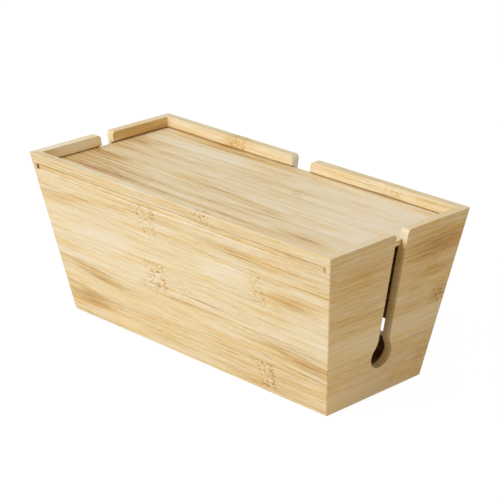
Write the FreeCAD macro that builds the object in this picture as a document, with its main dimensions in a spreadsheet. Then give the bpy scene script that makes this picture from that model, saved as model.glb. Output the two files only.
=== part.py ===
import FreeCAD, Part
import math
import os
import Sketcher

# A free-standing box that hides a power strip and its cables. Four mitred boards lean outward by the same
# angle, a base board is let into them, and a thin lid board slides out to the front along level grooves.
# Millimetres. X runs along the box, Y from front to rear, Z up. The origin is the middle of the footprint,
# on the surface that the four feet stand on. Each wall is drawn with zero height at its lower edge.

SIZES = {
    "lean_angle": 9.8,             # degrees that every wall leans outward from upright
    "wall_height": 163.6,          # lower edge to rim, measured upright
    "bottom_length": 343.4,        # outside, along X, at the lower edge
    "bottom_width": 125.0,         # outside, along Y, at the lower edge
    "board_thickness": 9.0,        # wall boards, square to their faces
    "corner_flat": 1.0,            # easing of each mitred corner, along the outer face
    "outer_arris": 0.5,            # rounding of the outer edges of the walls
    "inner_arris": 0.5,            # rounding of the inner edges of the walls
    "base_thickness": 6.0,         # base board, and the rebate that takes it
    "base_lap": 4.5,               # how far the base board reaches into the walls
    "lip_height": 10.1,            # strip of wall that stands above the lid groove
    "groove_depth": 4.1,           # lid groove, from the inner face at its lower edge
    "groove_corner": 1.0,          # rounding of the corners of the front slot
    "lid_thickness": 4.8,
    "lid_seat_gap": 0.2,           # running gap under the lid
    "lid_top_gap": 0.8,            # running gap above the lid
    "lid_end_gap": 1.7,            # play between each end of a centred lid and its groove
    "lid_place_share": 0.55,       # share of that play that the closed lid lies to the right
    "lid_rear_gap": 0.7,           # play behind the closed lid
    "lid_setback": 0.8,            # front edge of the closed lid behind the front face
    "lid_corner": 1.5,             # rounding of the lid's upright corners
    "lid_arris": 0.5,              # rounding of the lid's upper and lower edges
    "end_slot_width": 15.0,        # upright cable slot in each end wall
    "end_hole_diameter": 26.5,     # round hole at the foot of that slot
    "rear_slot_width": 23.5,       # upright cable slot in the rear wall, round at its foot
    "cable_height": 42.0,          # centre of the holes above the walls' lower edge
    "shoulder_radius": 4.0,        # rounding where a slot meets the rim
    "neck_radius": 16.0,           # rounding where an end slot meets its hole
    "vent_length": 50.0,           # low opening near each end of the rear wall
    "vent_height": 16.5,
    "vent_centre_height": 34.8,    # centre of that opening above the walls' lower edge
    "vent_end_margin": 26.7,       # lower corner of the wall to the opening's outer end
    "foot_diameter": 14.0,
    "foot_height": 2.0,
    "foot_inset": 20.0,            # lower corner of the box to the middle of a foot, along X and Y
    "foot_arris": 0.5,
    "overrun": 3.0,                # how far a cutting outline runs past what it cuts
}
TOUCH = 0.005                      # two places closer than this are the same place

# Each of these is an expression in the sizes, as text.
LEAN = "tan(Sizes.lean_angle)"
LEVEL_THICKNESS = "(Sizes.board_thickness / cos(Sizes.lean_angle))"
HALF_LENGTH = "(Sizes.bottom_length / 2)"
HALF_WIDTH = "(Sizes.bottom_width / 2)"
GROOVE_TOP = "(Sizes.wall_height - Sizes.lip_height)"
GROOVE_BOTTOM = f"({GROOVE_TOP} - Sizes.lid_thickness - Sizes.lid_seat_gap - Sizes.lid_top_gap)"
MITRE_START = f"({HALF_LENGTH} - {HALF_WIDTH})"   # the mitre planes cross Y = 0 here, at 45 degrees
ZERO = "0"

# How a sketch numbers its own axes, and the points of a line or arc.
LEVEL_AXIS_INDEX = -1
UPRIGHT_AXIS_INDEX = -2
START_INDEX = 1
END_INDEX = 2
CENTRE_INDEX = 3

document = FreeCAD.newDocument("CableBox")
sheet = document.addObject("Spreadsheet::Sheet", "Sizes")


def fill_sheet():
    for row, (name, size) in enumerate(SIZES.items(), 1):
        sheet.set(f"A{row}", name)
        sheet.set(f"B{row}", str(size))
        sheet.setAlias(f"B{row}", name)
    document.recompute()


def value(expression):
    return float(sheet.evalExpression(expression))


def signed(side, expression):
    return f"-({expression})" if side < 0 else expression


def outer_reach(half_size, height):
    return f"({half_size} + {height} * {LEAN})"


def inner_reach(half_size, height):
    return f"({outer_reach(half_size, height)} - {LEVEL_THICKNESS})"


def groove_reach(half_size):
    return f"({inner_reach(half_size, GROOVE_BOTTOM)} + Sizes.groove_depth)"


# Sketches: every point is pinned to the sketch's origin by expressions.

def add_body(label, height):
    body = document.addObject("PartDesign::Body", label)
    body.Label = label
    body.setExpression("Placement.Base.z", height)
    return body


def add_sketch(body, role, name):
    sketch = body.newObject("Sketcher::SketchObject", name)
    plane = next(feature for feature in body.Origin.OriginFeatures if feature.Role == role)
    sketch.AttachmentSupport = [(plane, "")]
    sketch.MapMode = "FlatFace"
    return sketch


def pin(sketch, kind, axis, line, end, expression):
    if expression == ZERO:
        sketch.addConstraint(Sketcher.Constraint("PointOnObject", line, end, axis))
        return
    reach = value(expression)
    constraint = Sketcher.Constraint(kind, LEVEL_AXIS_INDEX, START_INDEX, line, end, reach)
    number = sketch.addConstraint(constraint)
    sketch.setExpression(f"Constraints[{number}]", expression)


def pin_point(sketch, line, end, across, up):
    pin(sketch, "DistanceX", UPRIGHT_AXIS_INDEX, line, end, across)
    pin(sketch, "DistanceY", LEVEL_AXIS_INDEX, line, end, up)


def join(sketch, kind, line, next_line):
    sketch.addConstraint(Sketcher.Constraint(kind, line, END_INDEX, next_line, START_INDEX))


def draw_polygon(sketch, corners):
    points = [FreeCAD.Vector(value(across), value(up), 0) for across, up in corners]
    first = sketch.GeometryCount
    for start, end in zip(points, points[1:] + points[:1]):
        sketch.addGeometry(Part.LineSegment(start, end))
    for number, (across, up) in enumerate(corners):
        line = first + number
        line_before = first + (number - 1) % len(corners)
        join(sketch, "Coincident", line_before, line)
        pin_point(sketch, line, START_INDEX, across, up)


def draw_rectangle(sketch, left, right, low, high):
    draw_polygon(sketch, [(left, low), (right, low), (right, high), (left, high)])


def draw_circle(sketch, across, up, diameter):
    centre = FreeCAD.Vector(value(across), value(up), 0)
    normal = FreeCAD.Vector(0, 0, 1)
    circle = sketch.addGeometry(Part.Circle(centre, normal, value(diameter) / 2))
    pin_point(sketch, circle, CENTRE_INDEX, across, up)
    number = sketch.addConstraint(Sketcher.Constraint("Diameter", circle, value(diameter)))
    sketch.setExpression(f"Constraints[{number}]", diameter)


def draw_stadium(sketch, left, right, up, height):
    # Two half circles about the centres at left and right, joined by two level lines.
    radius = value(height) / 2
    low = value(up) - radius
    high = value(up) + radius
    normal = FreeCAD.Vector(0, 0, 1)
    left_circle = Part.Circle(FreeCAD.Vector(value(left), value(up), 0), normal, radius)
    right_circle = Part.Circle(FreeCAD.Vector(value(right), value(up), 0), normal, radius)
    quarter = math.pi / 2
    left_arc = sketch.addGeometry(Part.ArcOfCircle(left_circle, quarter, 3 * quarter))
    right_arc = sketch.addGeometry(Part.ArcOfCircle(right_circle, -quarter, quarter))
    low_left, low_right = (FreeCAD.Vector(value(side), low, 0) for side in (left, right))
    high_left, high_right = (FreeCAD.Vector(value(side), high, 0) for side in (left, right))
    low_line = sketch.addGeometry(Part.LineSegment(low_left, low_right))
    high_line = sketch.addGeometry(Part.LineSegment(high_right, high_left))
    outline = [left_arc, low_line, right_arc, high_line]
    for line, next_line in zip(outline, outline[1:] + outline[:1]):
        join(sketch, "Tangent", line, next_line)
    sketch.addConstraint(Sketcher.Constraint("Equal", left_arc, right_arc))
    pin_point(sketch, left_arc, CENTRE_INDEX, left, up)
    pin_point(sketch, right_arc, CENTRE_INDEX, right, up)
    number = sketch.addConstraint(Sketcher.Constraint("Radius", left_arc, radius))
    sketch.setExpression(f"Constraints[{number}]", f"{height} / 2")


# Features

def pad_outline(body, sketch, length, side_type="One side"):
    pad = body.newObject("PartDesign::Pad", "Board")
    pad.Profile = sketch
    pad.SideType = side_type
    pad.setExpression("Length", length)
    document.recompute()


def cut_through(body, sketch, name, slope=None):
    # Cuts square to the sketch, or along a line that moves by slope in X and Y for each unit of height.
    volume_before = body.Shape.Volume
    pocket = body.newObject("PartDesign::Pocket", name)
    pocket.Profile = sketch
    pocket.Type = "ThroughAll"
    pocket.SideType = "Symmetric"
    if slope:
        pocket.UseCustomVector = True
        pocket.Direction = FreeCAD.Vector(value(slope[0]), value(slope[1]), 1)
        pocket.setExpression("Direction.x", slope[0])
        pocket.setExpression("Direction.y", slope[1])
    document.recompute()
    if not body.Shape.Volume < volume_before:
        raise ValueError(f"{name} of {body.Label} cuts nothing")


def edges_where(body, wanted, left_out=None):
    # Names of the last feature's edges whose start, middle and end are all wanted and not all left out.
    names = []
    for number, edge in enumerate(body.Tip.Shape.Edges, 1):
        middle = (edge.FirstParameter + edge.LastParameter) / 2
        points = [edge.valueAt(place) for place in (edge.FirstParameter, middle, edge.LastParameter)]
        if all(map(wanted, points)) and not (left_out and all(map(left_out, points))):
            names.append(f"Edge{number}")
    if not names:
        raise ValueError(f"{body.Label} has no such edge")
    return names


def round_edges(body, name, radius, wanted, left_out=None):
    edges = edges_where(body, wanted, left_out)
    base = body.Tip
    fillet = body.newObject("PartDesign::Fillet", name)
    fillet.Base = (base, edges)
    fillet.setExpression("Radius", radius)
    document.recompute()


def same(first, second):
    return abs(first - second) < TOUCH


# Walls. A wall reaches out along Y (front and rear) or along X (the two ends), so each is drawn in the plane
# that shows its lean and padded along its length.

class Wall:
    def __init__(self, label, faces_along, side):
        self.body = add_body(label, "Sizes.foot_height")
        self.faces_along = faces_along
        self.side = side
        long_wall = faces_along == "Y"
        self.half = HALF_WIDTH if long_wall else HALF_LENGTH
        self.other_half = HALF_LENGTH if long_wall else HALF_WIDTH
        self.lean_plane = "YZ_Plane" if long_wall else "XZ_Plane"
        self.face_plane = "XZ_Plane" if long_wall else "YZ_Plane"
        self.board_end = f"({outer_reach(self.other_half, 'Sizes.wall_height')} + Sizes.overrun)"

    def corner_signs(self, end):
        return (end, self.side) if self.faces_along == "Y" else (self.side, end)

    def reach(self, point):
        return abs(point.y if self.faces_along == "Y" else point.x)

    def across(self, point):
        return point.x if self.faces_along == "Y" else point.y

    def on_outer_face(self, point):
        return same(self.reach(point), value(self.half) + point.z * value(LEAN))

    def on_inner_face(self, point):
        outer = value(self.half) + point.z * value(LEAN)
        return same(self.reach(point), outer - value(LEVEL_THICKNESS))


def pad_wall(wall):
    # The leaning section, with the rebate for the base along its lower inner edge.
    half = wall.half
    rebate = f"({inner_reach(half, ZERO)} + Sizes.base_lap)"
    section = [
        (half, ZERO),
        (outer_reach(half, "Sizes.wall_height"), "Sizes.wall_height"),
        (inner_reach(half, "Sizes.wall_height"), "Sizes.wall_height"),
        (inner_reach(half, "Sizes.base_thickness"), "Sizes.base_thickness"),
        (rebate, "Sizes.base_thickness"),
        (rebate, ZERO),
    ]
    sketch = add_sketch(wall.body, wall.lean_plane, "Section")
    draw_polygon(sketch, [(signed(wall.side, reach), up) for reach, up in section])
    pad_outline(wall.body, sketch, f"2 * {wall.board_end}", "Symmetric")


def cut_mitres(wall):
    # Everything past the two upright 45 degree planes that the corners of the box lie in.
    near = f"({HALF_WIDTH} - {LEVEL_THICKNESS} - Sizes.overrun)"
    far = f"({outer_reach(HALF_WIDTH, 'Sizes.wall_height')} + Sizes.overrun)"
    near_x, far_x = (f"({MITRE_START} + {reach})" for reach in (near, far))
    past_mitre = (far_x, near) if wall.faces_along == "Y" else (near_x, far)
    sketch = add_sketch(wall.body, "XY_Plane", "MitreOutline")
    for end in (-1, 1):
        x_side, y_side = wall.corner_signs(end)
        corners = [(near_x, near), (far_x, far), past_mitre]
        draw_polygon(sketch, [(signed(x_side, x), signed(y_side, y)) for x, y in corners])
    cut_through(wall.body, sketch, "Mitres")


def cut_lid_groove(wall):
    sketch = add_sketch(wall.body, wall.lean_plane, "GrooveOutline")
    inside = f"({inner_reach(wall.half, GROOVE_BOTTOM)} - Sizes.overrun)"
    left, right = (signed(wall.side, reach) for reach in (inside, groove_reach(wall.half)))
    draw_rectangle(sketch, left, right, GROOVE_BOTTOM, GROOVE_TOP)
    cut_through(wall.body, sketch, "LidGroove")


def cut_front_slot(wall):
    # The lid comes out through this slot, which is as long as the grooves of the end walls are apart.
    body = wall.body
    sketch = add_sketch(body, wall.face_plane, "SlotOutline")
    reach = groove_reach(HALF_LENGTH)
    draw_rectangle(sketch, signed(-1, reach), reach, GROOVE_BOTTOM, GROOVE_TOP)
    cut_through(body, sketch, "LidSlot")
    slot_end = value(reach)
    heights = (value(GROOVE_BOTTOM), value(GROOVE_TOP))

    def at_slot_corner(point):
        return same(abs(point.x), slot_end) and any(same(point.z, height) for height in heights)

    round_edges(body, "SlotCorners", "Sizes.groove_corner", at_slot_corner)


def cut_cable_slot(wall, slot_width, hole_diameter):
    # An upright slot from the rim down to a round hole, with rounded shoulders at the rim.
    body = wall.body
    half_slot = f"({slot_width} / 2)"
    rim = "Sizes.wall_height"
    sketch = add_sketch(body, wall.face_plane, "CableSlotOutline")
    above_rim = f"({rim} + Sizes.overrun)"
    draw_rectangle(sketch, signed(-1, half_slot), half_slot, "Sizes.cable_height", above_rim)
    cut_through(body, sketch, "CableSlot")
    sketch = add_sketch(body, wall.face_plane, "CableHoleOutline")
    draw_circle(sketch, ZERO, "Sizes.cable_height", hole_diameter)
    cut_through(body, sketch, "CableHole")
    slot_side = value(half_slot)
    rim_height = value(rim)

    def at_shoulder(point):
        return same(abs(wall.across(point)), slot_side) and same(point.z, rim_height)

    round_edges(body, "Shoulders", "Sizes.shoulder_radius", at_shoulder)


def round_neck(wall, slot_width, hole_diameter):
    slot_side = value(slot_width) / 2
    hole_radius = value(hole_diameter) / 2
    neck_height = value("Sizes.cable_height") + math.sqrt(hole_radius ** 2 - slot_side ** 2)

    def at_neck(point):
        return same(abs(wall.across(point)), slot_side) and same(point.z, neck_height)

    round_edges(wall.body, "Neck", "Sizes.neck_radius", at_neck)


def cut_vents(wall):
    sketch = add_sketch(wall.body, wall.face_plane, "VentOutline")
    end_radius = "(Sizes.vent_height / 2)"
    far = f"({HALF_LENGTH} - Sizes.vent_end_margin - {end_radius})"
    near = f"({far} - Sizes.vent_length + Sizes.vent_height)"
    for left, right in ((signed(-1, far), signed(-1, near)), (near, far)):
        draw_stadium(sketch, left, right, "Sizes.vent_centre_height", "Sizes.vent_height")
    cut_through(wall.body, sketch, "Vents")


def ease_corners(wall):
    # A narrow flat along each mitred corner, square to the mitre and leaning with it.
    near_x, near_y = (f"({half} - Sizes.corner_flat - Sizes.overrun)" for half in (HALF_LENGTH, HALF_WIDTH))
    far_x, far_y = (f"({half} + Sizes.overrun)" for half in (HALF_LENGTH, HALF_WIDTH))
    for end, name in ((-1, "FlatOne"), (1, "FlatTwo")):
        x_side, y_side = wall.corner_signs(end)
        sketch = add_sketch(wall.body, "XY_Plane", f"{name}Outline")
        corners = [(near_x, far_y), (far_x, near_y), (far_x, far_y)]
        draw_polygon(sketch, [(signed(x_side, x), signed(y_side, y)) for x, y in corners])
        cut_through(wall.body, sketch, name, (signed(x_side, LEAN), signed(y_side, LEAN)))


def round_arrises(wall):
    # All edges of the outer face, and those of the rim and the cable openings on the inner face.
    board_end = value(wall.board_end)
    rebate_top = value("Sizes.base_thickness")
    groove_heights = (value(GROOVE_BOTTOM), value(GROOVE_TOP))

    def at_board_end(point):
        return same(abs(wall.across(point)), board_end)

    def covered(point):
        # The ends of the uncut board, the rebate, and the edges that the lid runs along.
        at_groove = any(same(point.z, height) for height in groove_heights)
        return at_board_end(point) or at_groove or point.z < rebate_top + TOUCH

    round_edges(wall.body, "OuterArrises", "Sizes.outer_arris", wall.on_outer_face, at_board_end)
    round_edges(wall.body, "InnerArrises", "Sizes.inner_arris", wall.on_inner_face, covered)


def finish_wall(wall):
    round_arrises(wall)
    cut_mitres(wall)
    ease_corners(wall)


def make_front_wall():
    wall = Wall("front_wall", "Y", -1)
    pad_wall(wall)
    cut_front_slot(wall)
    finish_wall(wall)
    return wall.body


def make_rear_wall():
    wall = Wall("rear_wall", "Y", 1)
    pad_wall(wall)
    cut_lid_groove(wall)
    cut_cable_slot(wall, "Sizes.rear_slot_width", "Sizes.rear_slot_width")
    cut_vents(wall)
    finish_wall(wall)
    return wall.body


def make_end_wall(label, side):
    wall = Wall(label, "X", side)
    pad_wall(wall)
    cut_lid_groove(wall)
    cut_cable_slot(wall, "Sizes.end_slot_width", "Sizes.end_hole_diameter")
    round_neck(wall, "Sizes.end_slot_width", "Sizes.end_hole_diameter")
    finish_wall(wall)
    return wall.body


# Base, lid and feet

def make_base_panel():
    body = add_body("base_panel", "Sizes.foot_height")
    sketch = add_sketch(body, "XY_Plane", "Outline")
    reach_x = f"({inner_reach(HALF_LENGTH, ZERO)} + Sizes.base_lap)"
    reach_y = f"({inner_reach(HALF_WIDTH, ZERO)} + Sizes.base_lap)"
    draw_rectangle(sketch, signed(-1, reach_x), reach_x, signed(-1, reach_y), reach_y)
    pad_outline(body, sketch, "Sizes.base_thickness")
    return body


def make_lid_panel():
    # Its front edge leans like the front wall, so that the closed lid lies along the wall's face.
    body = add_body("lid_panel", "Sizes.foot_height")
    body.setExpression("Placement.Base.x", "Sizes.lid_end_gap * Sizes.lid_place_share")
    low = f"({GROOVE_BOTTOM} + Sizes.lid_seat_gap)"
    high = f"({low} + Sizes.lid_thickness)"
    rear = f"({groove_reach(HALF_WIDTH)} - Sizes.lid_rear_gap)"
    front_low, front_high = (
        signed(-1, f"({outer_reach(HALF_WIDTH, height)} - Sizes.lid_setback)") for height in (low, high)
    )
    sketch = add_sketch(body, "YZ_Plane", "Section")
    draw_polygon(sketch, [(front_low, low), (rear, low), (rear, high), (front_high, high)])
    lid_end = f"({groove_reach(HALF_LENGTH)} - Sizes.lid_end_gap)"
    pad_outline(body, sketch, f"2 * {lid_end}", "Symmetric")
    end = value(lid_end)
    faces = (value(low), value(high))

    def at_end(point):
        return same(abs(point.x), end)

    def on_flat_face(point):
        return any(same(point.z, face) for face in faces)

    round_edges(body, "Corners", "Sizes.lid_corner", at_end, on_flat_face)
    round_edges(body, "Arrises", "Sizes.lid_arris", on_flat_face)
    return body


def make_foot(label, x_side, y_side):
    body = add_body(label, ZERO)
    body.setExpression("Placement.Base.x", signed(x_side, f"({HALF_LENGTH} - Sizes.foot_inset)"))
    body.setExpression("Placement.Base.y", signed(y_side, f"({HALF_WIDTH} - Sizes.foot_inset)"))
    sketch = add_sketch(body, "XY_Plane", "Outline")
    draw_circle(sketch, ZERO, ZERO, "Sizes.foot_diameter")
    pad_outline(body, sketch, "Sizes.foot_height")

    def at_floor(point):
        return same(point.z, 0)

    round_edges(body, "Arris", "Sizes.foot_arris", at_floor)
    return body


def make_feet():
    places = {
        "foot_front_left": (-1, -1),
        "foot_front_right": (1, -1),
        "foot_rear_left": (-1, 1),
        "foot_rear_right": (1, 1),
    }
    return [make_foot(label, x_side, y_side) for label, (x_side, y_side) in places.items()]


def check_document():
    for item in document.Objects:
        if "Invalid" in item.State or "Error" in item.State:
            raise ValueError(f"{item.Label} failed: {item.State}")


def write_parts(bodies):
    for body in bodies:
        if body.Shape.isNull() or not body.Shape.isValid() or len(body.Shape.Solids) != 1:
            raise ValueError(f"{body.Label} is not one valid solid")
    os.makedirs("parts", exist_ok=True)
    for body in bodies:
        body.Shape.exportStep(f"parts/{body.Label}.step")
        print(f"{body.Label}: {body.Shape.Volume:.0f} cubic millimetres")


fill_sheet()
sub_parts = [
    make_front_wall(),
    make_rear_wall(),
    make_end_wall("left_end_wall", -1),
    make_end_wall("right_end_wall", 1),
    make_base_panel(),
    make_lid_panel(),
    *make_feet(),
]
document.recompute()
check_document()
write_parts(sub_parts)
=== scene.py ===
import math

import bpy
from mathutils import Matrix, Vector

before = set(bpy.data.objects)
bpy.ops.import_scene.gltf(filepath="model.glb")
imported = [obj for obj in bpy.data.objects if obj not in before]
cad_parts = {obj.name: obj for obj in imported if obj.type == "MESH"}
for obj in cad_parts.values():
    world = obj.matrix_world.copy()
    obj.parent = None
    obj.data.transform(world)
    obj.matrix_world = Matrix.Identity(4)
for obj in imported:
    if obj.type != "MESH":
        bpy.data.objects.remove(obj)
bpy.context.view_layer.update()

# A cable box of pale bamboo boards on a white floor, in metres, Z up.
# The boards' patterns are worked out in millimetres, from the middle of the box and from the floor up.

scene = bpy.context.scene
leanAngle = math.radians(9.8)      # every wall leans outward by this
footHeight = 2                     # millimetres under the walls
grooveMiddle = 152.6               # the lid groove, millimetres above the floor
grooveHalf = 2.9                   # half its height
groovedFrom = 149                  # a wall's inner face below the groove ends here
lidTop = 155.6                     # where the lid meets a wall
insideFrom = 8                     # a wall's painted inside shade starts this far in from its outer face


def linear(red, green, blue):
    # A colour as it is seen on a screen, 0 to 255, as the light values that a shader takes.
    shares = [channel / 255 for channel in (red, green, blue)]
    lights = [share / 12.92 if share <= .04045 else ((share + .055) / 1.055) ** 2.4 for share in shares]
    return (*lights, 1)


# Shader building

class Wire:
    # An output socket that can be used in sums.
    def __init__(self, shader, socket):
        self.shader = shader
        self.socket = socket

    def join(self, operation, first, second):
        operands = (first, second)
        isVector = any(isinstance(one, Wire) and one.socket.type in ("VECTOR", "RGBA") for one in operands)
        if not isVector:
            return self.shader.add("ShaderNodeMath", {"operation": operation}, {0: first, 1: second})
        values = [(one,) * 3 if isinstance(one, (int, float)) else one for one in operands]
        return self.shader.add("ShaderNodeVectorMath", {"operation": operation}, {0: values[0], 1: values[1]})

    def __add__(self, other):
        return self.join("ADD", self, other)

    def __radd__(self, other):
        return self.join("ADD", other, self)

    def __sub__(self, other):
        return self.join("SUBTRACT", self, other)

    def __rsub__(self, other):
        return self.join("SUBTRACT", other, self)

    def __mul__(self, other):
        return self.join("MULTIPLY", self, other)

    def __rmul__(self, other):
        return self.join("MULTIPLY", other, self)

    def __truediv__(self, other):
        return self.join("DIVIDE", self, other)

    def __abs__(self):
        return self.join("ABSOLUTE", self, 0)

    def larger(self, other):
        return self.join("MAXIMUM", self, other)

    def dot(self, direction):
        return self.shader.add("ShaderNodeVectorMath", {"operation": "DOT_PRODUCT"},
                               {0: self, 1: direction}, "Value")

    def rise(self, low, high):
        # 0 up to low, 1 from high, and an even curve between them.
        return self.shader.add("ShaderNodeMapRange", {"interpolation_type": "SMOOTHSTEP"},
                               {"Value": self, "From Min": low, "From Max": high})

    def split(self):
        return [self.shader.add("ShaderNodeSeparateXYZ", {}, {0: self}, axis) for axis in "XYZ"]


class Shader:
    # The nodes of a material or of the world.
    def __init__(self, owner):
        self.owner = owner
        owner.use_nodes = True
        self.tree = owner.node_tree
        self.tree.nodes.clear()

    def add(self, kind, settings, sockets, output=0):
        node = self.tree.nodes.new(kind)
        for name, setting in settings.items():
            if name == "stops":
                self.setStops(node.color_ramp, setting)
            elif name == "interpolation":
                node.color_ramp.interpolation = setting
            else:
                setattr(node, name, setting)
        for name, given in sockets.items():
            if isinstance(given, Wire):
                self.tree.links.new(given.socket, node.inputs[name])
            else:
                node.inputs[name].default_value = given
        return Wire(self, node.outputs[output]) if node.outputs else node

    def setStops(self, ramp, stops):
        while len(ramp.elements) < len(stops):
            ramp.elements.new(1)
        for element, (position, color) in zip(ramp.elements, stops):
            element.position = position
            element.color = color

    def at(self, x, y, z):
        return self.add("ShaderNodeCombineXYZ", {}, {0: x, 1: y, 2: z})

    def noise(self, place, detail=2, roughness=.5):
        return self.add("ShaderNodeTexNoise", {}, {"Vector": place, "Scale": 1, "Detail": detail,
                                                   "Roughness": roughness})

    def cells(self, place, randomness):
        # How far each point is from the middle of its cell.
        return self.add("ShaderNodeTexVoronoi", {},
                        {"Vector": place, "Scale": 1, "Randomness": randomness}, "Distance")

    def mix(self, share, first, second, blend="MIX"):
        return self.add("ShaderNodeMix", {"data_type": "RGBA", "blend_type": blend},
                        {0: share, 6: first, 7: second}, 2)

    def skin(self, color, roughness, bump):
        return self.add("ShaderNodeBsdfPrincipled", {},
                        {"Base Color": color, "Roughness": roughness, "Normal": bump})

    def seenAsWhite(self):
        # Rays that meet the white surroundings straight, in a shine or through glass.
        rays = [self.add("ShaderNodeLightPath", {}, {}, f"Is {kind} Ray")
                for kind in ("Camera", "Glossy", "Transmission")]
        return rays[0].larger(rays[1]).larger(rays[2])

    def finish(self, surface, kind="ShaderNodeOutputMaterial"):
        self.add(kind, {}, {"Surface": surface})
        return self.owner


# Bamboo boards

bambooTones = [
    (.00, linear(248, 236, 210)),
    (.25, linear(241, 223, 185)),
    (.50, linear(232, 207, 156)),
    (.72, linear(216, 182, 122)),
    (.92, linear(196, 155, 98)),
    (1.0, linear(176, 133, 80)),
]

bambooFinish = {
    "fibreLength": 15, "fibreWidth": .8,         # fine fibres
    "threadLength": 70, "threadWidth": 1.15,     # single darker or paler threads
    "streakLength": 150, "streakWidth": 2.8,     # bundles of fibres
    "groupLength": 70, "groupWidth": 6.5,        # where the threads are strong
    "lineLength": 110, "lineWidth": .95,         # thin dark lines
    "cloudLength": 110, "cloudWidth": 11,        # slow changes of tone
    "hueLength": 70, "hueWidth": 10,             # slow changes of colour
    "swayLength": 160, "swayWidth": 30,          # how the fibres wander
    "raggedLength": 5, "raggedWidth": 2.6,       # a knuckle's uneven outline
    "beadLength": 3.1, "beadWidth": 2.1,
    "fleckLength": 3.4, "fleckWidth": 2,
    "cloudContrast": .4,
    "streakContrast": .42,
    "threadContrast": 1.9,
    "lineContrast": .28,
    "fineContrast": .78,
    "seamContrast": .1,                          # between two staves
    "knuckleReach": 250,                         # knuckles lie within this of a board's middle
    "knuckleLength": 16,                         # half the length of a full knuckle's patch
    "beadContrast": .8,
    "fleckContrast": .12,
    "ringContrast": .4,
    "warmth": .5,                                # how far some areas turn orange
    "markWarmth": .3,                            # how far the darker areas turn orange
    "warmColor": (253, 238, 206),
    "sway": 3,                                   # how far the fibres wander, in millimetres
    "endGrainDarker": .04,
    "endDotDarker": .07,
    "arrisPaler": .06,
    "roughness": .5,
    "relief": .00012,
}


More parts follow.
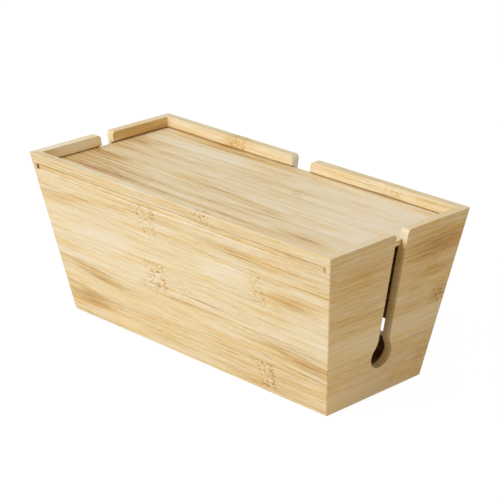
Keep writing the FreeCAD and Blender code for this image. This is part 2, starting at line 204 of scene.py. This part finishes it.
def bambooBoard(name, board):
    shader = Shader(bpy.data.materials.new(name))
    look = {**bambooFinish, **board}
    place = shader.add("ShaderNodeTexCoord", {}, {}, "Object") * 1000
    along = place.dot(board["along"])
    height = place.dot(board["across"])
    deep = place.dot(board["outward"])

    # One ramp gives each stave's values: tone, knuckle's middle and strength as its colour, slant as alpha.
    rows = board["staves"]
    low, high = rows[0][0], board["staveEnd"]
    knuckleSpan = look["knuckleReach"] * 2
    stops = [((start - low) / (high - low), (tone, .5 + middle / knuckleSpan, strength, .5 + slant))
             for start, tone, middle, strength, slant in rows]
    ramp = shader.add("ShaderNodeValToRGB", {"stops": stops, "interpolation": "CONSTANT"},
                      {"Fac": (height - low) / (high - low)})
    slant = Wire(shader, ramp.socket.node.outputs["Alpha"]) - .5
    staveTone, knucklePlace, knuckleStrength = ramp.split()
    knuckleMiddle = (knucklePlace - .5) * knuckleSpan
    phase = staveTone * 311 + knucklePlace * 173      # moves each stave's pattern away from its neighbours'

    def areas(ellipses, core):
        # The sum of soft ellipses: along, height, half length, half height, slant, strength.
        total = None
        for middleAlong, middleHeight, halfLength, halfHeight, lean, strength in ellipses:
            across = height - middleHeight - (along - middleAlong) * lean
            reach = shader.at((along - middleAlong) / halfLength, across / halfHeight, 0)
            radius = shader.add("ShaderNodeVectorMath", {"operation": "LENGTH"}, {0: reach}, "Value")
            spot = radius.rise(1.15, core) * strength
            total = spot if total is None else total + spot
        return total

    def blotches(length, width, detail=2, roughness=.5):
        # Noise that is drawn out along the board and differs from stave to stave.
        spread = shader.at(along / length + phase, height / width, deep / width)
        return shader.noise(spread, detail, roughness)

    # Fibres follow the stave's slant, sway a little, and part around its knuckle.
    sway = blotches(look["swayLength"], look["swayWidth"], 1) - .5
    fromKnuckle = along - knuckleMiddle
    knuckleShare = fromKnuckle / ((knuckleStrength * .55 + .45) * look["knuckleLength"])
    ragged = blotches(look["raggedLength"], look["raggedWidth"]) - .5
    taper = shader.noise(shader.at(phase, height / 19, deep / 19), 0) - .5
    patch = (knuckleShare + ragged + taper * 2.4).rise(-.9, -.1) * (knuckleShare + ragged * .5).rise(1, .8)
    patch = patch * knuckleStrength
    if "faintKnuckles" in board:
        patch = patch + areas(board["faintKnuckles"], .6) * (ragged + 1)
    flow = shader.noise(shader.at(fromKnuckle / 7 + phase, height / 5, deep / 5), 2) - .5
    fibreHeight = height + slant * along + sway * look["sway"] + flow * patch * 5

    def fibres(length, width, detail=2, roughness=.5):
        grain = shader.at(along / length + phase, fibreHeight / width, deep / width)
        return shader.noise(grain, detail, roughness)

    fine = fibres(look["fibreLength"], look["fibreWidth"], 3, .65) - .5
    threads = fibres(look["threadLength"], look["threadWidth"]) - .5
    streak = fibres(look["streakLength"], look["streakWidth"]) - .5
    cloud = fibres(look["cloudLength"], look["cloudWidth"], 1) - .5
    groups = fibres(look["groupLength"], look["groupWidth"], 1)
    lines = fibres(look["lineLength"], look["lineWidth"], 1).rise(.56, .7) * groups.rise(.46, .6)

    # The seams between staves show as faint lines.
    seams = None
    for row in rows[1:]:
        seam = abs(height - row[0]).rise(.8, .2)
        seams = seam if seams is None else seams + seam

    marks = areas(board["marks"], .1)      # darker or paler areas

    # A knuckle is a patch of small wavy beads, darker towards one end.
    beadLength, beadWidth = look["beadLength"], look["beadWidth"]
    beadPlace = shader.at(along / beadLength + flow * 2 + phase, height / beadWidth + flow, deep / beadWidth)
    beads = shader.cells(beadPlace, .9)
    flecks = blotches(look["fleckLength"], look["fleckWidth"], 2, .6).rise(.54, .68)
    ring = abs(knuckleShare - .72 + ragged * .4).rise(.26, .05)
    knuckle = patch * ((beads - .45) * look["beadContrast"] + flecks * look["fleckContrast"]
                       + ring * flecks * look["ringContrast"])

    tone = (staveTone + cloud * look["cloudContrast"] + streak * look["streakContrast"]
            + threads * groups * look["threadContrast"] + fine * look["fineContrast"]
            + lines * look["lineContrast"] * (marks * 3 + 1)
            + marks * (threads * 1.8 + 1) + seams * look["seamContrast"] + knuckle)

    # Cut ends of the fibres show as dark dots, and the arrises are paler.
    normal = shader.add("ShaderNodeNewGeometry", {}, {}, "True Normal")
    endwise = abs(normal.dot(board["along"]))
    endGrain = endwise.rise(.75, .92)
    dots = shader.cells(shader.at(0, height / .9, deep / .9), .8).rise(.42, .2)
    outward = abs(normal.dot(board["outward"]))
    upright = abs(normal.dot((0, 0, 1)))
    arris = outward.larger(upright).larger(endwise).rise(.985, .93)
    cut = dots * look["endDotDarker"] + look["endGrainDarker"]
    tone = tone + endGrain * cut - arris * look["arrisPaler"]
    tinted = 1
    if "outerFace" in board:
        # Rim is paler; painted highlight makes the shoulders paler, and painted light the slot lips.
        # Saw cuts and corners are darker, and painted shade darkens the inside and the line just above the
        # lid.
        outer = board["outerFace"]
        grooveEdge = outer - board["grooveFrom"]
        innerFace = outer - insideFrom
        rim = upright.rise(.7, .95) * height.rise(*board["rimHeights"])
        # Painted highlight: the slot shoulders are paler and keep less of the tint, as if lit.
        shoulderHighlight = endwise.rise(.45, .75) * outward.rise(.6, .4) * height.rise(*board["shoulderHeights"])
        # Painted light: the outer part of each slot's side face is paler, for light reaching into the slot.
        slotLipLight = endGrain * deep.rise(outer - 5, outer - .5)
        corner = endwise.rise(.5, .65) * outward.rise(.5, .65)
        sawn = (abs(height - grooveMiddle).rise(grooveHalf + .3, grooveHalf)
                * deep.rise(grooveEdge, grooveEdge - .4))
        # Painted shade: the wall's inner face below the groove is darker, as the closed box is dark inside.
        insideShade = deep.rise(innerFace, innerFace - .8) * height.rise(groovedFrom + 4, groovedFrom)
        # Painted shade: a dark band on the inner face just above the lid, where the gap lies in shade.
        creviceShade = deep.rise(innerFace, innerFace - .6) * abs(height - lidTop).rise(1.3, .3)
        paler = rim * board["rimPaler"] + shoulderHighlight * board["shoulderHighlightPaler"] + slotLipLight * board["slotLipLightPaler"]
        darker = sawn * board["sawnDarker"] + insideShade * board["insideShadeDarker"] + creviceShade * board["creviceShadeDarker"]
        tone = tone - paler + darker + corner * board["cornerDarker"]
        if "slotShine" in board:
            # Painted highlight along the lower edge of the lid's slot.
            slotHighlight = abs(height - grooveMiddle + grooveHalf + .3).rise(1, .6) * outward.rise(.1, .3)
            span = along.rise(*board["shineStart"]) * along.rise(*board["shineEnd"])
            tone = tone - slotHighlight * span * board["slotShine"]
        tinted = 1 - (rim * .6).larger(shoulderHighlight * .9)
    else:
        # The edges are darker: end grain on the ends, and painted shade for edges that sit in grooves and
        # rebates.
        tone = tone + endGrain * board["endGrainAndShadeDarker"] + outward.rise(.9, .7) * board["edgeShadeDarker"]

    color = shader.add("ShaderNodeValToRGB", {"stops": bambooTones}, {"Fac": tone})
    hue = blotches(look["hueLength"], look["hueWidth"], 1)
    grey = (hue.rise(.52, .36) * .8 + marks.rise(-.02, -.2)) * tone.rise(1, .5) * outward.rise(.7, .9)
    color = shader.mix(grey * board["greyness"] * .4, color, linear(*board["greyColor"]))
    warm = hue.rise(.48, .68) * look["warmth"] + marks.rise(.02, .22) * look["markWarmth"]
    color = shader.mix(warm, color, linear(*look["warmColor"]), "MULTIPLY")
    color = shader.mix(tinted, color, linear(*board["tint"]), "MULTIPLY")

    relief = fine * .6 + streak * .3 - lines * .4 - knuckle * 1.5 - endGrain * dots * .5
    bump = shader.add("ShaderNodeBump", {}, {"Strength": .6, "Distance": look["relief"], "Height": relief})
    rough = fine * .25 + knuckle * .3 + endGrain * .15 + look["roughness"]
    return shader.finish(shader.skin(color, rough, bump))


outwardLean = (math.cos(leanAngle), math.sin(leanAngle))
wallMeasures = {
    "across": (0, 0, 1),
    "staveEnd": 180,
    "grooveFrom": 4.6,             # wood outside the lid groove
    "rimHeights": (156, 162),
    "shoulderHeights": (149, 157),
    "greyness": .5,
    "greyColor": (236, 217, 190),
    "tint": (255, 255, 255),
    "rimPaler": .1,
    "shoulderHighlightPaler": .42,
    "sawnDarker": .45,
    "insideShadeDarker": .45,
    "creviceShadeDarker": .38,
    "slotLipLightPaler": .3,
    "cornerDarker": .1,
}


def outerFace(halfSize):
    # How far out a wall's outer face lies, square to it, from the line where the feet stand.
    return (halfSize - footHeight * math.tan(leanAngle)) * math.cos(leanAngle)


# A row of a board's staves: where it starts, tone, middle of its knuckle, the knuckle's strength, slant.
# A row of its marks or faint knuckles: along, height, half length, half height, slant, strength.

frontWall = {
    **wallMeasures,
    "along": (1, 0, 0),
    "outward": (0, -outwardLean[0], -outwardLean[1]),
    "outerFace": outerFace(62.5),
    "grooveFrom": 1,
    "greyness": .65,
    "slotShine": .34,              # how pale the painted highlight along the lower edge of the lid's slot is
    "shineStart": (-192, -186),    # nothing to full, from the slot's left end
    "shineEnd": (200, 100),        # nothing to full, from its right end
    "staves": [
        (0, .52, 98, .9, 0),
        (33, .48, 240, 0, .03),
        (63, .37, -36, 1, 0),
        (93, .36, 100, .7, 0),
        (121.5, .45, -37, .8, 0),
        (150.5, .46, 38, .9, 0),
    ],
    "marks": [
        (-130, 55, 60, 8, -.12, .2),
        (-108, 48, 30, 5, -.08, .14),
        (-140, 23, 55, 11, 0, .25),
        (145, 50, 55, 8, -.14, .28),
        (120, 14, 90, 12, 0, .1),
        (150, 106, 50, 12, -.04, .28),
        (80, 136, 80, 9, 0, .24),
        (-120, 98, 70, 14, 0, -.16),
        (60, 106, 45, 10, 0, -.14),
        (-170, 125, 40, 8, 0, .14),
        (-40, 110, 70, 5, -.02, .12),
        (20, 62, 60, 5, 0, .1),
    ],
    "faintKnuckles": [
        (0, 75, 13, 15, 0, .5),
        (-62, 136, 9, 9, 0, .3),
        (-33, 76, 13, 14, 0, .45),
        (38, 160, 12, 6, 0, .4),
        (95, 106, 9, 12, 0, .3),
    ],
}

rearWall = {
    **wallMeasures,
    "along": (1, 0, 0),
    "outward": (0, outwardLean[0], -outwardLean[1]),
    "outerFace": outerFace(62.5),
    "rimPaler": -.05,
    "markWarmth": .8,
    "staves": [
        (0, .48, -60, .8, 0),
        (29, .40, 110, .8, .02),
        (58, .50, -130, .8, 0),
        (86, .36, 60, 1, -.02),
        (114, .46, -20, .7, 0),
        (141, .42, 150, .7, 0),
        (153, .34, -90, 1, 0),
    ],
    "marks": [
        (-120, 70, 60, 9, .05, .16),
        (100, 40, 50, 9, -.05, .16),
        (40, 130, 60, 8, 0, .14),
        (-60, 100, 60, 12, 0, -.12),
        (-92, 160, 24, 8, 0, .2),
    ],
    "faintKnuckles": [
        (116, 160, 14, 6, 0, .7),
    ],
}

leftEndWall = {
    **wallMeasures,
    "along": (0, 1, 0),
    "outward": (-outwardLean[0], 0, -outwardLean[1]),
    "outerFace": outerFace(171.7),
    "tint": (255, 246, 226),
    "greyness": .1,
    "rimPaler": .45,
    "markWarmth": .9,
    "staves": [
        (0, .50, -30, .8, 0),
        (27, .42, 50, .6, 0),
        (55, .47, -55, .9, .02),
        (83, .38, 240, 0, 0),
        (110, .46, 30, .8, 0),
        (138, .50, -50, .6, 0),
    ],
    "marks": [
        (20, 60, 40, 8, 0, .14),
        (-30, 120, 40, 9, 0, .12),
        (30, 30, 50, 12, 0, -.1),
        # Painted light: this paler patch lifts the shade on the front half of the rim's inside.
        (-36, 162, 40, 10, 0, -.8),
        (46, 160, 54, 12, 0, .18),
    ],
}

rightEndWall = {
    **wallMeasures,
    "along": (0, 1, 0),
    "outward": (outwardLean[0], 0, -outwardLean[1]),
    "outerFace": outerFace(171.7),
    "tint": (245, 231, 207),
    "greyness": .3,
    "rimPaler": .3,
    "markWarmth": .8,
    "warmColor": (254, 242, 186),
    "knuckleLength": 20,
    "cloudContrast": .25,
    "streakContrast": .3,
    "threadContrast": 1.3,
    "lineContrast": .14,
    "fineContrast": .9,
    "staves": [
        (0, .46, 56, .5, 0),
        (24, .48, 60, .4, 0),
        (51, .36, 240, 0, 0),
        (77, .50, 68, .3, 0),
        (106, .50, 240, 0, .02),
        (137, .52, 240, 0, 0),
    ],
    "marks": [
        (50, 140, 60, 24, 0, .25),
        (55, 114, 34, 8, 0, .16),
        (-50, 95, 50, 9, 0, .1),
        (-45, 128, 50, 26, 0, .12),
        (66, 88, 14, 13, 0, .16),
        (55, 28, 12, 16, 0, .12),
        # Painted light: this paler strip near the floor stands in for light bounced up from it.
        (-30, 12, 60, 14, 0, -.08),
        (0, 64, 110, 11, 0, -.12),
    ],
    "faintKnuckles": [
        (66, 89, 11, 12, 0, 1),
    ],
}

lidBoard = {
    "along": (1, 0, 0),
    "across": (0, 1, 0),
    "outward": (0, 0, 1),
    "staveEnd": 100,
    "tint": (255, 252, 246),
    "greyness": .4,
    "greyColor": (244, 225, 198),
    "markWarmth": 0,
    "cloudContrast": .9,
    "streakContrast": .7,
    "threadContrast": 2,
    "fineContrast": 1.1,
    "streakLength": 130,
    "sway": 5,
    # Darker edges: end grain, and painted shade in the grooves.
    "endGrainAndShadeDarker": .35,
    "edgeShadeDarker": .15,
    "staves": [
        (-100, .34, 240, 0, 0),
        (-60, .36, 240, 0, 0),
        (-33, .31, 200, .3, .01),
        (-6, .25, 240, 0, 0),
        (18, .28, 46, .5, 0),
        (45, .16, 240, 0, 0),
        (68, .26, 240, 0, 0),
    ],
    "marks": [
        (-150, -52, 90, 10, 0, .33),
        (-155, -19, 60, 6, -.02, .32),
        (-190, 0, 110, 120, 0, .23),
        (190, 10, 120, 90, 0, -.25),
        (10, -20, 100, 8, -.02, .18),
        (-168, 29, 20, 7, 0, .3),
        (130, -52, 48, 9, 0, .22),
        (80, 50, 120, 16, 0, -.14),
        (-150, 50, 60, 9, 0, -.16),
        # Painted shadow: the front wall's lip shades this strip along the lid's front edge.
        (-60, -58, 150, 6, 0, .26),
        (46, 27, 8, 4, 0, .3),
        (-80, 75, 130, 13, 0, .26),
        (90, 77, 90, 6, 0, .12),
        (150, -88, 70, 9, 0, -.1),
        # Painted shade: the lid's end in the gap at the right end of the front slot.
        (191, -85, 4, 12, 0, .34),
    ],
}

baseBoard = {
    **lidBoard,
    "greyness": .6,
    "staves": [
        (-100, .46, 60, .6, 0),
        (-50, .50, -90, .8, 0),
        (-24, .42, 120, .8, .01),
        (4, .48, -20, .6, 0),
        (32, .40, 90, .8, 0),
    ],
    "marks": [
        (-80, -20, 60, 9, 0, .14),
        (90, 20, 60, 9, 0, .12),
    ],
}


def rubber(name, foot):
    shader = Shader(bpy.data.materials.new(name))
    place = shader.add("ShaderNodeTexCoord", {}, {}, "Object") * 1000
    grain = shader.noise(place * foot["grainScale"], 3, .6)
    dust = shader.noise(place * foot["dustScale"]).rise(.45, .7) * foot["dustShare"]
    color = shader.mix(dust, linear(*foot["color"]), linear(*foot["dust"]))
    bump = shader.add("ShaderNodeBump", {}, {"Strength": .5, "Distance": foot["relief"], "Height": grain})
    rough = grain * .2 + foot["roughness"]
    return shader.finish(shader.skin(color, rough, bump))


feet = {
    "color": (118, 115, 108),
    "dust": (160, 156, 147),
    "grainScale": 2.4,
    "dustScale": .35,
    "dustShare": .4,
    "roughness": .62,
    "relief": .00008,
}


def dress(material, *nodes):
    for node in nodes:
        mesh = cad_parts[node].data
        mesh.materials.clear()
        mesh.materials.append(material)


print("bamboo walls")
dress(bambooBoard("bamboo front", frontWall), "front_wall")
dress(bambooBoard("bamboo rear", rearWall), "rear_wall")
dress(bambooBoard("bamboo left end", leftEndWall), "left_end_wall")
dress(bambooBoard("bamboo right end", rightEndWall), "right_end_wall")
print("lid, base and feet")
dress(bambooBoard("bamboo lid", lidBoard), "lid_panel")
dress(bambooBoard("bamboo base", baseBoard), "base_panel")
dress(rubber("foot rubber", feet), "foot_front_left", "foot_front_right", "foot_rear_left", "foot_rear_right")


# Floor, light and camera

stage = {
    "floorSize": 30,
    "floorHeight": -.0002,         # just under the feet
    "floorColor": (240, 240, 240),
    "floorGlow": .84,              # how much of the floor shows as plain white to the camera
    "glowStrength": 1.12,
    "skyStrength": .44,
    "lampSize": 1.4,
    "lampTarget": (0, 0, .08),
    "keyPower": 50.9,
    "keyPlace": (-.9, -2.2, 1.95),
    "fillPower": 4.8,
    "fillPlace": (2.3, -.9, 1.2),
}


def makeFloor():
    half = stage["floorSize"] / 2
    mesh = bpy.data.meshes.new("floor")
    corners = [(-half, -half, 0), (half, -half, 0), (half, half, 0), (-half, half, 0)]
    mesh.from_pydata(corners, [], [(0, 1, 2, 3)])
    floor = bpy.data.objects.new("floor", mesh)
    floor.location.z = stage["floorHeight"]
    scene.collection.objects.link(floor)
    shader = Shader(bpy.data.materials.new("floor paper"))
    paper = shader.add("ShaderNodeBsdfDiffuse", {}, {"Color": linear(*stage["floorColor"])})
    glow = shader.add("ShaderNodeEmission", {}, {"Color": (1, 1, 1, 1), "Strength": stage["glowStrength"]})
    seen = shader.seenAsWhite() * stage["floorGlow"]
    mesh.materials.append(shader.finish(shader.add("ShaderNodeMixShader", {}, {0: seen, 1: paper, 2: glow})))


def makeSky():
    scene.world = bpy.data.worlds.new("sky")
    shader = Shader(scene.world)
    lit = shader.add("ShaderNodeBackground", {}, {"Color": (1, 1, 1, 1), "Strength": stage["skyStrength"]})
    white = shader.add("ShaderNodeBackground", {}, {"Color": (1, 1, 1, 1), "Strength": 1})
    both = shader.add("ShaderNodeMixShader", {}, {0: shader.seenAsWhite(), 1: lit, 2: white})
    shader.finish(both, "ShaderNodeOutputWorld")


def aim(thing, target):
    thing.rotation_euler = (Vector(target) - thing.location).to_track_quat("-Z", "Y").to_euler()


def makeLamp(name, place, power):
    light = bpy.data.lights.new(name, "AREA")
    light.energy = power
    light.size = stage["lampSize"]
    lamp = bpy.data.objects.new(name, light)
    scene.collection.objects.link(lamp)
    lamp.location = place
    aim(lamp, stage["lampTarget"])


view = {
    "target": (.0124, 0, .0976),
    "distance": 1.7844,
    "azimuth": math.radians(45.45),
    "elevation": math.radians(21.18),
    "lens": 137.28,
    "sensor": 36,
}


def makeCamera():
    data = bpy.data.cameras.new("camera")
    data.lens = view["lens"]
    data.sensor_width = view["sensor"]
    camera = bpy.data.objects.new("camera", data)
    scene.collection.objects.link(camera)
    azimuth, elevation = view["azimuth"], view["elevation"]
    flat = math.cos(elevation)
    direction = Vector((flat * math.sin(azimuth), -flat * math.cos(azimuth), math.sin(elevation)))
    camera.location = Vector(view["target"]) + direction * view["distance"]
    aim(camera, view["target"])
    scene.camera = camera


print("floor, light and camera")
makeFloor()
makeSky()
makeLamp("key lamp", stage["keyPlace"], stage["keyPower"])
makeLamp("fill lamp", stage["fillPlace"], stage["fillPower"])
makeCamera()
scene.view_settings.view_transform = "Standard"
